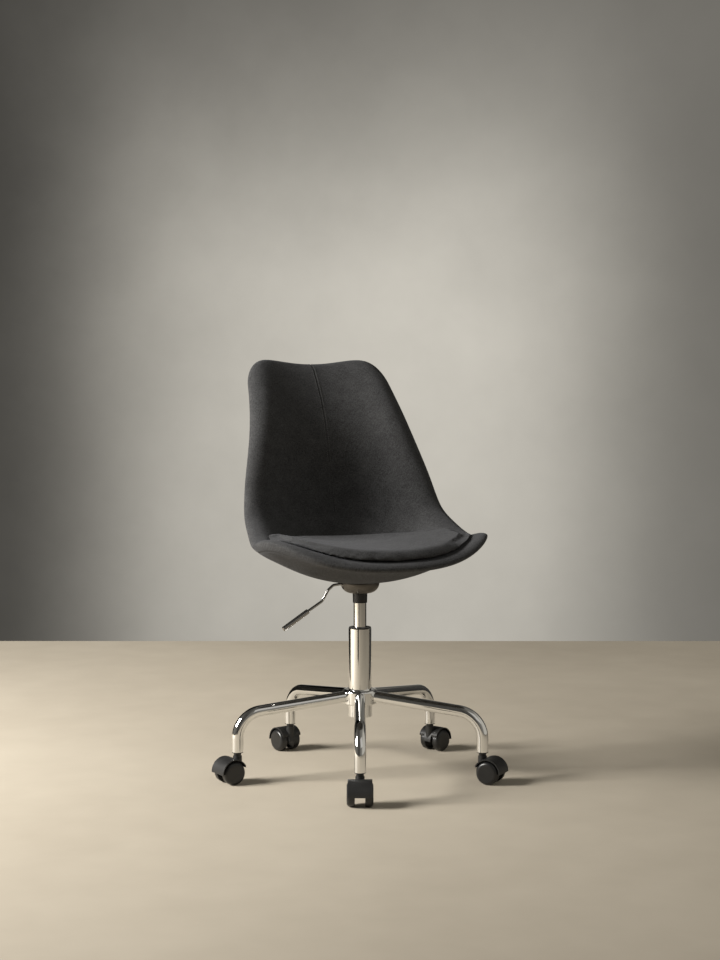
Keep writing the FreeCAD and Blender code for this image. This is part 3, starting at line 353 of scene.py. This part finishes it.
def middle_points(across, along, roll_height=0.0):
    """Points of the middle surface, or of the sitter's side of a rim that is rolled over by a height."""
    y, y_slope = profile_y(along)
    z, z_slope = profile_z(along)
    speed = np.hypot(y_slope, z_slope)
    share = np.abs(across) / profile_half(along)[0]
    flared = np.maximum(0, share - FLARE_START) / (1 - FLARE_START)
    rolled = np.maximum(0, share - ROLL_START) / (1 - ROLL_START)
    roll = roll_height * eased((along - 0.06) / 0.2) * (1 - 0.8 * eased((along - LENGTH + 0.2) / 0.18))
    rise = CORNER_RISE * np.exp(-((along - chain[1]) / 0.1) ** 2) * (roll_height > 0)
    lift = (profile_lift(along)[0] + roll) * share ** LIFT_POWER + rise * share ** 4
    lift -= RIM_FLARE * flared ** 3 + roll * rolled ** 2
    return np.stack([across, y - z_slope / speed * lift, z + y_slope / speed * lift], axis=-1)


def middle_normals(across, along, roll_height=0.0):
    """Unit normals towards the sitter."""
    nudge = 0.5 * MM
    sideways, forwards = (
        middle_points(across + step_x, along + step_s, roll_height)
        - middle_points(across - step_x, along - step_s, roll_height)
        for step_x, step_s in ((nudge, 0), (0, nudge)))
    normals = np.cross(sideways, forwards)
    return normals / np.linalg.norm(normals, axis=-1, keepdims=True)


# %% [markdown]
# ## An outline, and the mesh that fills it
# The bucket and the cushion have the same kind of outline, a rounded shield. A mesh that follows it well
# has rings along the edge, where the padding rounds over, and a plain grid in the middle. The grid and
# the rings are relaxed together until the cells are even.

# %% Outlines, as places across and along the bucket


def evenly(points, count):
    """So many points at even distances round a closed line."""
    closed = np.vstack([points, points[:1]])
    travel = np.concatenate(([0.0], np.cumsum(np.linalg.norm(np.diff(closed, axis=0), axis=1))))
    wanted = np.arange(count) * travel[-1] / count
    return np.stack([np.interp(wanted, travel, closed[:, k]) for k in (0, 1)], axis=-1)


def outline(inset, end_edge, count, spread=0.0):
    """Closed outline from the front centre towards +X; end_edge gives where it ends at a share across, and
    spread is how much further it reaches sideways."""
    bow = np.sin(np.linspace(0, math.pi / 2, 90))
    front = inset + (FRONT_ROUND - inset) * (1 - np.sqrt(1 - bow ** 2))
    end = end_edge(bow, inset)
    side = np.linspace(front[-1], end[-1], 120)[1:-1]
    share = np.concatenate([bow, np.ones(len(side)), bow[::-1]])
    along = np.concatenate([front, side, end[::-1]])
    right = np.stack([share * (profile_half(along)[0] + spread - inset), along], axis=-1)
    left = right[1:-1][::-1] * (-1, 1)
    return evenly(np.vstack([right, left]), count)


def bucket_end(share, inset):
    """Where the back ends: a dipped top edge with rounded corners."""
    corner = (TOP_ROUND - inset) * (1 - np.sqrt(np.maximum(0, 1 - share ** 6)))
    return LENGTH - inset - TOP_DIP * (1 - share ** 2) ** 4 - corner


# %% Fill an outline with rings and a grid


def fill(edge, depths, columns, rings, shrink=0.55, rounds=500):
    """Places, faces and edge distances of a mesh whose first ring is the edge and whose next rings lie at
    the given depths inside it. The middle is a grid with that many columns."""
    count = len(edge)
    rows = count // 2 - columns
    tangent = np.roll(edge, -1, axis=0) - np.roll(edge, 1, axis=0)
    inward = np.stack([-tangent[:, 1], tangent[:, 0]], axis=-1)
    inward /= np.linalg.norm(inward, axis=1, keepdims=True)
    places = [edge + inward * depth for depth in depths]
    centre = edge.mean(axis=0)
    inner = centre + (edge - centre) * shrink
    for step in range(1, rings + 1):
        places.append(places[len(depths) - 1] * (1 - step / rings) + inner * step / rings)
    last = (len(places) - 1) * count
    border = [(i, 0) for i in range(columns // 2, columns)] + [(columns, j) for j in range(rows)]
    border += [(i, rows) for i in range(columns, 0, -1)] + [(0, j) for j in range(rows, 0, -1)]
    border += [(i, 0) for i in range(columns // 2)]
    number = {cell: last + k for k, cell in enumerate(border)}
    grid = []
    for j in range(1, rows):
        for i in range(1, columns):
            number[i, j] = last + count + len(grid)
            left, right = inner[number[0, j] - last], inner[number[columns, j] - last]
            grid.append(left * (1 - i / columns) + right * i / columns)
    places = np.vstack(places + [np.array(grid)])
    faces = []
    for ring in range(last // count):
        for k in range(count):
            a, b = ring * count + k, ring * count + (k + 1) % count
            faces.append((a, b, b + count, a + count))
    for j in range(rows):
        for i in range(columns):
            faces.append((number[i, j], number[i + 1, j], number[i + 1, j + 1], number[i, j + 1]))
    pairs = {tuple(sorted((face[k], face[(k + 1) % 4]))) for face in faces for k in range(4)}
    first, second = np.array(sorted(pairs)).T
    degree = np.bincount(np.concatenate([first, second]), minlength=len(places))[:, None]
    held = len(depths) * count
    for _ in range(rounds):
        total = np.zeros_like(places)
        np.add.at(total, first, places[second])
        np.add.at(total, second, places[first])
        places[held:] = (total / degree)[held:]
    distance = np.full(len(places), np.inf)
    for point in evenly(edge, 4 * count):
        distance = np.minimum(distance, np.linalg.norm(places - point, axis=1))
    distance[:count] = 0.0
    return places, faces, distance


def rounded(distance, reach):
    """Share of the full thickness at a distance from the edge: a quarter ellipse, then flat."""
    return np.sqrt(1 - (1 - np.minimum(1, distance / reach)) ** 2)


# %% Put a mesh into the scene


def new_piece(name, points, faces, body, slot):
    """A smooth mesh with the finish of its slot, riding on a body."""
    mesh = bpy.data.meshes.new(name)
    mesh.from_pydata([tuple(point) for point in np.asarray(points, float)], [], faces)
    mesh.validate()
    mesh.shade_smooth()
    mesh.materials.append(finishes[slot])
    piece = bpy.data.objects.new(name, mesh)
    bpy.context.scene.collection.objects.link(piece)
    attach(piece, body)
    print(name, "has", len(mesh.vertices), "points")
    return piece


def closed_faces(faces, count, edge_count):
    """The faces of a two-sided mesh whose lower side repeats the upper one, sharing the edge ring."""
    under = [tuple(k if k < edge_count else k + count - edge_count for k in face)[::-1] for face in faces]
    return faces + under


# %% [markdown]
# ## The bucket's cover
# Cloth is stretched over the foam on both faces and rolls over the rim in one soft round. Under the rim
# a seam joins the cloth of the underside, and a second seam runs up the middle of the back and over the
# dipped top edge. Both seams pull a narrow valley into the foam. A cover this tight follows its shell, so
# it is made from the surface formula; only the cushion needs a simulation.

# %% The cover as a closed skin
EDGE_POINTS = 264
RIM_DEPTHS = np.array([0, 0.35, 1.2, 2.6, 4.8, 7.8, 11.6, 14, 15.4, 16.8, 19.6, 24, 30, 38, 47]) * MM
RIM_ROUND, RIM_REACH = 14 * MM, 46 * MM
RIM_SPREAD, UNDER_BLEND = 3.5 * MM, 9 * MM
RIM_SEAM, RIM_SEAM_WIDTH, RIM_SEAM_DEPTH = 15.4 * MM, 1.1 * MM, 1.2 * MM
RIPPLE, RIPPLE_REACH = 0.25 * MM, 60 * MM

edge = outline(0.0, bucket_end, EDGE_POINTS, RIM_SPREAD)
places, cover_faces, depth = fill(edge, RIM_DEPTHS, 50, 16)
across, along = places.T
middle, normal = middle_points(across, along), middle_normals(across, along)
rolled, rolled_normal = (surface(across, along, RIM_ROLL) for surface in (middle_points, middle_normals))
broad = np.sin(across * 31 + 1.3) * np.sin(along * 23 + 0.4)
ripple = (broad + 0.6 * np.sin(across * 57 - along * 44)) * RIPPLE
ripple *= np.minimum(1, depth / RIPPLE_REACH)
fading = 1 - (1 - np.minimum(1, depth / RIM_REACH)) ** 2
thickness = COVER_HALF * (0.5 * rounded(depth, RIM_ROUND) + 0.5 * fading)
upper = thickness + ripple
lower = thickness - RIM_SEAM_DEPTH * np.exp(-((depth - RIM_SEAM) / RIM_SEAM_WIDTH) ** 2)
top_side = rolled + rolled_normal * upper[:, None]
follow = (rolled - middle) * np.exp(-depth / UNDER_BLEND)[:, None]
under_side = (middle + follow - normal * lower[:, None])[EDGE_POINTS:]
cover = new_piece("bucket_cover", np.vstack([top_side, under_side]),
                  closed_faces(cover_faces, len(places), EDGE_POINTS), "seat", "charcoal_fabric")

# %% Pull the centre seam into it
SEAM_WIDTH, SEAM_DEPTH = 1.0 * MM, 1.4 * MM
PUFF_HEIGHT, PUFF_PLACE, PUFF_WIDTH = 0.3 * MM, 4 * MM, 1.6 * MM
SEAM_START, SEAM_REACH, CUT_REACH = 0.545, 9 * MM, 14 * MM
SEAM_CUTS = np.array([-6.5, -4.2, -2.6, -1.6, -0.8, 0, 0.8, 1.6, 2.6, 4.2, 6.5]) * MM

sewn = bmesh.new()
sewn.from_mesh(cover.data)
for cut in SEAM_CUTS:
    near = [f for f in sewn.faces if f.calc_center_median().z > SEAM_START - 0.02
            and min(abs(v.co.x - cut) for v in f.verts) < CUT_REACH]
    parts = near + list({e for f in near for e in f.edges}) + list({v for f in near for v in f.verts})
    bmesh.ops.bisect_plane(sewn, geom=parts, plane_co=(cut, 0, 0), plane_no=(1, 0, 0), dist=1e-5)
bmesh.ops.triangulate(sewn, faces=[f for f in sewn.faces if len(f.verts) > 4])
sewn.normal_update()
shifts = []
for vertex in sewn.verts:
    x, z = abs(vertex.co.x), vertex.co.z
    if x < SEAM_REACH and z > SEAM_START:
        fade = min(1, max(0.15, (z - 0.62) / 0.2))
        dip = SEAM_DEPTH * math.exp(-(x / SEAM_WIDTH) ** 2)
        puff = PUFF_HEIGHT * math.exp(-((x - PUFF_PLACE) / PUFF_WIDTH) ** 2)
        shifts.append((vertex, vertex.normal * ((puff - dip) * fade)))
for vertex, shift in shifts:
    vertex.co += shift
sewn.to_mesh(cover.data)
sewn.free()
cover.data.shade_smooth()
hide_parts("front_upholstery", "rear_upholstery")
print("the centre seam moved", len(shifts), "points")

# %% [markdown]
# ## Stitches
# A row of stitches runs down each side of the centre seam. Each stitch is a short loop of thick thread
# that dives into the cloth at both ends. They are small, so one function bends a six-sided thread over a
# few rings, and all stitches of a row are one mesh.

# %% Sew two rows, on the sitter's side and behind
STITCH_LENGTH, STITCH_STEP, THREAD_RADIUS = 3.4 * MM, 4.6 * MM, 0.38 * MM
STITCH_ARCH, STITCH_SINK, THREAD_SIDES = 0.35 * MM, 0.15 * MM, 6
STITCH_RINGS = ((0.0, 0.3), (0.12, 0.8), (0.35, 1.0), (0.65, 1.0), (0.88, 0.8), (1.0, 0.3))
ROW_OFFSET, ROW_LIFT = 3.2 * MM, 0.35 * MM
ROW_START, ROW_END = 470 * MM, LENGTH - 24 * MM


def stitch(start, end, outward):
    """Rings of points from start to end, arched along the outward direction."""
    line = end - start
    side = np.cross(line, outward)
    side /= np.linalg.norm(side)
    rings = []
    for share, radius in STITCH_RINGS:
        rise = math.sin(math.pi * share) * STITCH_ARCH - STITCH_SINK
        centre = start + line * share + outward * rise
        for k in range(THREAD_SIDES):
            turn = math.tau * k / THREAD_SIDES
            rings.append(centre + (side * math.cos(turn) + outward * math.sin(turn)) * THREAD_RADIUS * radius)
    return rings


def stitch_row(points, outwards):
    """A mesh of stitches along a line of points."""
    vertices, faces = [], []
    travel = np.concatenate(([0.0], np.cumsum(np.linalg.norm(np.diff(points, axis=0), axis=1))))
    for first in np.arange(0, travel[-1] - STITCH_STEP, STITCH_STEP):
        ends = [np.array([np.interp(at, travel, points[:, k]) for k in range(3)])
                for at in (first, first + STITCH_LENGTH)]
        outward = np.array([np.interp(first, travel, outwards[:, k]) for k in range(3)])
        base = len(vertices)
        last = base + (len(STITCH_RINGS) - 1) * THREAD_SIDES
        vertices += stitch(*ends, outward)
        for ring in range(base, last, THREAD_SIDES):
            for k in range(THREAD_SIDES):
                a, b = ring + k, ring + (k + 1) % THREAD_SIDES
                faces.append((a, b, b + THREAD_SIDES, a + THREAD_SIDES))
        faces.append(tuple(base + k for k in reversed(range(THREAD_SIDES))))
        faces.append(tuple(last + k for k in range(THREAD_SIDES)))
    return vertices, faces


finishes["sewing_thread"] = moulded("sewing_thread", grey(0.07), 0.7, 3000.0, 0.00005, 0.3)
for side_name, face_side in (("front", 1), ("rear", -1)):
    for row_name, sign in (("left", -1), ("right", 1)):
        run = np.linspace(ROW_START, ROW_END, 160)
        x = np.full(len(run), sign * ROW_OFFSET)
        outwards = middle_normals(x, run) * face_side
        line = middle_points(x, run) + outwards * (COVER_HALF + ROW_LIFT)
        threads = new_piece(f"stitches_{side_name}_{row_name}", *stitch_row(line, outwards),
                            "seat", "charcoal_fabric")
        threads.data.materials[0] = finishes["sewing_thread"]

# %% [markdown]
# ## The seat cushion
# A separate cushion fills the pan. Its cover is cut a little smaller than the foam, so it crowns and
# rounds over at its edge. The formulas below give nearly all of its form. Blown up as cloth it would
# swell several times too far, so the swelling is evened out and cut to a few millimetres: the
# simulation gives the directions, and the cap gives the amount almost everywhere.

# %% The cushion before it is stuffed
CUSHION_INSET, CUSHION_REAR, CUSHION_SWEEP = 17 * MM, 388 * MM, 70 * MM
CUSHION_LEVEL, CUSHION_DISH, CUSHION_BACK = 507 * MM, 42 * MM, 7 * MM
CUSHION_EDGE, CUSHION_ROUND, CUSHION_CORNER = 10 * MM, 36 * MM, 60 * MM
CUSHION_RINGS = np.array([0, 2, 4.5, 8, 12.5, 18, 25]) * MM
SIDE_GAP, EDGE_ROLL, BACK_RUN = 12 * MM, 6 * MM, 100 * MM
SLACK = 2.0 * MM


def cushion_end(share, inset):
    """Where the cushion ends at the heel of the bucket: swept forward beside its middle."""
    corner = CUSHION_CORNER * (1 - np.sqrt(np.maximum(0, 1 - share ** 5)))
    return CUSHION_REAR - CUSHION_SWEEP * share ** 2 - corner


cushion_edge = outline(CUSHION_INSET, cushion_end, 160, -SIDE_GAP)
places, pad_faces, depth = fill(cushion_edge, CUSHION_RINGS, 40, 6)
across, along = places.T
normal = middle_normals(across, along, RIM_ROLL)
foot = middle_points(across, along, RIM_ROLL) + normal * (COVER_HALF + SLACK)
level = CUSHION_LEVEL + CUSHION_DISH * (foot[:, 0] / SEAT_HALF) ** 2
level += CUSHION_BACK * eased(foot[:, 1] / BACK_RUN)
stuffing = np.maximum(0, level - SLACK - foot[:, 2] - CUSHION_EDGE)
height = CUSHION_EDGE + stuffing * rounded(depth, CUSHION_ROUND)
crown = foot + np.array([0, 0, 1]) * (height * rounded(depth, EDGE_ROLL))[:, None]
cushion = new_piece("seat_cushion_stuffed", np.vstack([crown, foot[len(cushion_edge):]]),
                    closed_faces(pad_faces, len(places), len(cushion_edge)), "seat", "charcoal_fabric")

# %% Stuff it
VOXEL, PRESSURE, LAST_FRAME = 5 * MM, 4.0, 20
SWELL_CAP, EVEN_ROUNDS = 6 * MM, 14


def only_active(piece):
    for other in bpy.context.selected_objects:
        other.select_set(False)
    piece.select_set(True)
    bpy.context.view_layer.objects.active = piece


def apply_modifier(piece, modifier):
    only_active(piece)
    bpy.ops.object.modifier_apply(modifier=modifier.name)


def positions(mesh):
    flat = np.zeros(len(mesh.vertices) * 3)
    mesh.vertices.foreach_get("co", flat)
    return flat.reshape(-1, 3)


def evened(mesh, shifts, rounds):
    """Shifts of a mesh's points, each averaged with its neighbours' so many times."""
    ends = np.array([line.vertices[:] for line in mesh.edges])
    degree = np.bincount(ends.ravel(), minlength=len(shifts))[:, None] + 1
    for _ in range(rounds):
        total = shifts.copy()
        np.add.at(total, ends[:, 0], shifts[ends[:, 1]])
        np.add.at(total, ends[:, 1], shifts[ends[:, 0]])
        shifts = total / degree
    return shifts


remesh = cushion.modifiers.new("even_cells", "REMESH")
remesh.mode = "VOXEL"
remesh.voxel_size = VOXEL
apply_modifier(cushion, remesh)
smooth = cushion.modifiers.new("soften", "SMOOTH")
smooth.factor = 0.5
smooth.iterations = 6
apply_modifier(cushion, smooth)
before = positions(cushion.data)
normals = np.array([vertex.normal[:] for vertex in cushion.data.vertices])
cloth = cushion.modifiers.new("stuffing", "CLOTH")
cloth.settings.use_pressure = True
cloth.settings.uniform_pressure_force = PRESSURE
cloth.settings.effector_weights.gravity = 0.0
cloth.settings.mass = 0.3
cloth.settings.tension_stiffness = 15.0
cloth.settings.compression_stiffness = 15.0
cloth.settings.bending_stiffness = 0.6
for moment in range(1, LAST_FRAME + 1):
    bpy.context.scene.frame_set(moment)
apply_modifier(cushion, cloth)
moved = evened(cushion.data, positions(cushion.data) - before, EVEN_ROUNDS)
size = np.linalg.norm(moved, axis=1, keepdims=True)
cap = SWELL_CAP * np.clip(normals[:, 2:3] + 0.15, 0.05, 1)
moved *= np.minimum(1, cap / np.maximum(size, 1e-9))
cushion.data.vertices.foreach_set("co", (before + moved).ravel())
bpy.context.scene.frame_set(1)
print("the stuffing moved the cushion by up to", round(float(size.max()) / MM, 1), "mm before the cap")
subdivide = cushion.modifiers.new("finer", "SUBSURF")
subdivide.levels = subdivide.render_levels = 1
apply_modifier(cushion, subdivide)
cushion.data.shade_smooth()
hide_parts("seat_cushion")

# %% [markdown]
# ## The studio
# A pale plastered floor, one large soft light from the left and a dim room. The room is a world whose
# brightness depends on the direction alone: the far wall is bright, and the room behind the camera is
# dark. That and three black cards that only mirrors see give the chrome its dark streaks.

# %% Camera
TURN = 0.358
CAMERA_DISTANCE, CAMERA_HEIGHT, CAMERA_PITCH = 3.7076, 0.8602, 0.058
camera = bpy.data.objects.new("camera", bpy.data.cameras.new("camera"))
camera.data.sensor_width = 36
camera.data.lens = 64
camera.location = (-CAMERA_DISTANCE * math.sin(TURN), -CAMERA_DISTANCE * math.cos(TURN), CAMERA_HEIGHT)
camera.rotation_euler = (math.pi / 2 - CAMERA_PITCH, 0, -TURN)
bpy.context.scene.collection.objects.link(camera)
bpy.context.scene.camera = camera
ahead = Vector((math.sin(TURN), math.cos(TURN), 0))
rightwards = Vector((math.cos(TURN), -math.sin(TURN), 0))

# %% Floor
FLOOR_BEHIND, FLOOR_SIDE = 1.905, 7.0
plaster = Finish("pale_plaster_painted_light")
blotch = plaster.noise(0.9, 5.0)
grit = plaster.noise(9.0, 6.0)
share = ((blotch - 0.5) * 1.2 + (grit - 0.5) * 0.5 + 0.5).clamped()
# Painted light: the floor's colour is painted darker towards the camera (near) and paler towards the back
# (far), standing in for how the light falls off across it. The blotches and grit are the plaster's own.
place = plaster.node("ShaderNodeTexCoord", output="Object")
inward = plaster.node("ShaderNodeVectorMath", {"operation": "DOT_PRODUCT"},
                      {0: place, 1: tuple(ahead)}, output="Value")
near = plaster.blend(share, (0.38, 0.337, 0.272, 1), (0.50, 0.451, 0.371, 1))
far_painted_light = plaster.blend(share, (0.56, 0.496, 0.400, 1), (0.74, 0.668, 0.549, 1))
tone = plaster.blend(((inward + 1.2) / 3.1).clamped(), near, far_painted_light)
pale_plaster_painted_light = plaster.surface(Base_Color=tone, Roughness=0.72, Specular_IOR_Level=0.3,
                               Normal=plaster.bump(grit, 0.002, 0.12))
corners = [ahead * depth + rightwards * side for depth, side in (
    (-FLOOR_SIDE, -FLOOR_SIDE), (-FLOOR_SIDE, FLOOR_SIDE),
    (FLOOR_BEHIND, FLOOR_SIDE), (FLOOR_BEHIND, -FLOOR_SIDE))]
floor_mesh = bpy.data.meshes.new("floor")
floor_mesh.from_pydata([tuple(corner) for corner in corners], [], [(0, 1, 2, 3)])
floor_mesh.materials.append(pale_plaster_painted_light)
floor = bpy.data.objects.new("floor", floor_mesh)
bpy.context.scene.collection.objects.link(floor)

# %% Room
world = bpy.data.worlds.new("room")
bpy.context.scene.world = world
world.use_nodes = True
room = Finish("room", world.node_tree)
direction = room.node("ShaderNodeTexCoord", output="Generated")


def towards(vector):
    """How far a direction points along a vector: 1 straight along it, -1 straight away."""
    return room.node("ShaderNodeVectorMath", {"operation": "DOT_PRODUCT"},
                     {0: direction, 1: tuple(vector)}, output="Value")


deep, across, rise = towards(ahead), towards(rightwards), towards((0, 0, 1)) - 0.035
aside = across * across / 0.0225
over = rise.clamped() / 0.135
under = (rise * -1).clamped() / 0.45
patch = (aside * aside + over * over + under * under) * -1
patch = patch.exponential() * deep.clamped()
right_wall = ((across - 0.45) * 3).clamped() * 0.30
left_wall = ((across * -1 - 0.45) * 2).clamped() * 0.10
flank = ((deep - 0.2) * 3).clamped() * ((0.96 - deep) * 14).clamped() * -0.07
level = patch * 0.44 + right_wall + left_wall + flank + (across * 0.25).clamped(-0.05, 0.05) + 0.11
clouds = room.noise(6.0, 6.0, direction, Roughness=0.6)
level = level + (clouds - 0.5) * 0.24 * (patch + 0.25)
colour = room.blend(level.clamped(), (0.0, 0.0, 0.0, 1), (1.0, 0.95, 0.84, 1))
shine = room.node("ShaderNodeBackground", None, {"Color": colour, "Strength": 1.0})
room.node("ShaderNodeOutputWorld", None, {"Surface": shine})

# %% Lights


def soft_light(name, place, aim, width, height, power, colour):
    """A rectangular light that points at a place and doesn't show itself."""
    data = bpy.data.lights.new(name, "AREA")
    data.shape = "RECTANGLE"
    data.size, data.size_y = width, height
    data.energy = power
    data.color = colour
    light = bpy.data.objects.new(name, data)
    light.location = place
    light.rotation_mode = "QUATERNION"
    light.rotation_quaternion = (Vector(aim) - Vector(place)).to_track_quat("-Z", "Y")
    light.visible_camera = False
    bpy.context.scene.collection.objects.link(light)


soft_light("window", rightwards * -2.9 - ahead * 0.75 + Vector((0, 0, 1.7)), (0, 0, 0.45),
           1.2, 1.2, 215, (1.0, 0.97, 0.92))
soft_light("fill", -ahead * 2.6 + rightwards * 1.5 + Vector((0, 0, 2.6)), (0, 0, 0.4),
           2.2, 2.2, 5, (1.0, 0.97, 0.93))

# %% Black cards
CARD_FOOT = 2 * MM


def dark_card(name, start, end, height):
    """An upright black card that only mirrors see; chrome needs something dark beside the bright walls."""
    low = [rightwards * side + ahead * depth for side, depth in (start, end)]
    mesh = bpy.data.meshes.new(name)
    points = [tuple(point + Vector((0, 0, z))) for z in (CARD_FOOT, height) for point in low]
    mesh.from_pydata(points, [], [(0, 1, 3, 2)])
    mesh.materials.append(black_card)
    card = bpy.data.objects.new(name, mesh)
    bpy.context.scene.collection.objects.link(card)
    for ray in ("camera", "diffuse", "shadow", "transmission"):
        setattr(card, f"visible_{ray}", False)


card_finish = Finish("black_card")
black_card = card_finish.surface(Base_Color=card_finish.blend(card_finish.noise(3.0), grey(0.01), grey(0.03)),
                                 Roughness=0.9)
dark_card("card_front", (-0.66, -1.45), (-0.30, -1.45), 1.5)
dark_card("card_left", (-1.1, 0.35), (-0.75, 1.7), 0.9)
dark_card("card_right", (1.1, 0.35), (0.75, 1.7), 0.9)
bpy.context.scene.view_settings.view_transform = "Standard"
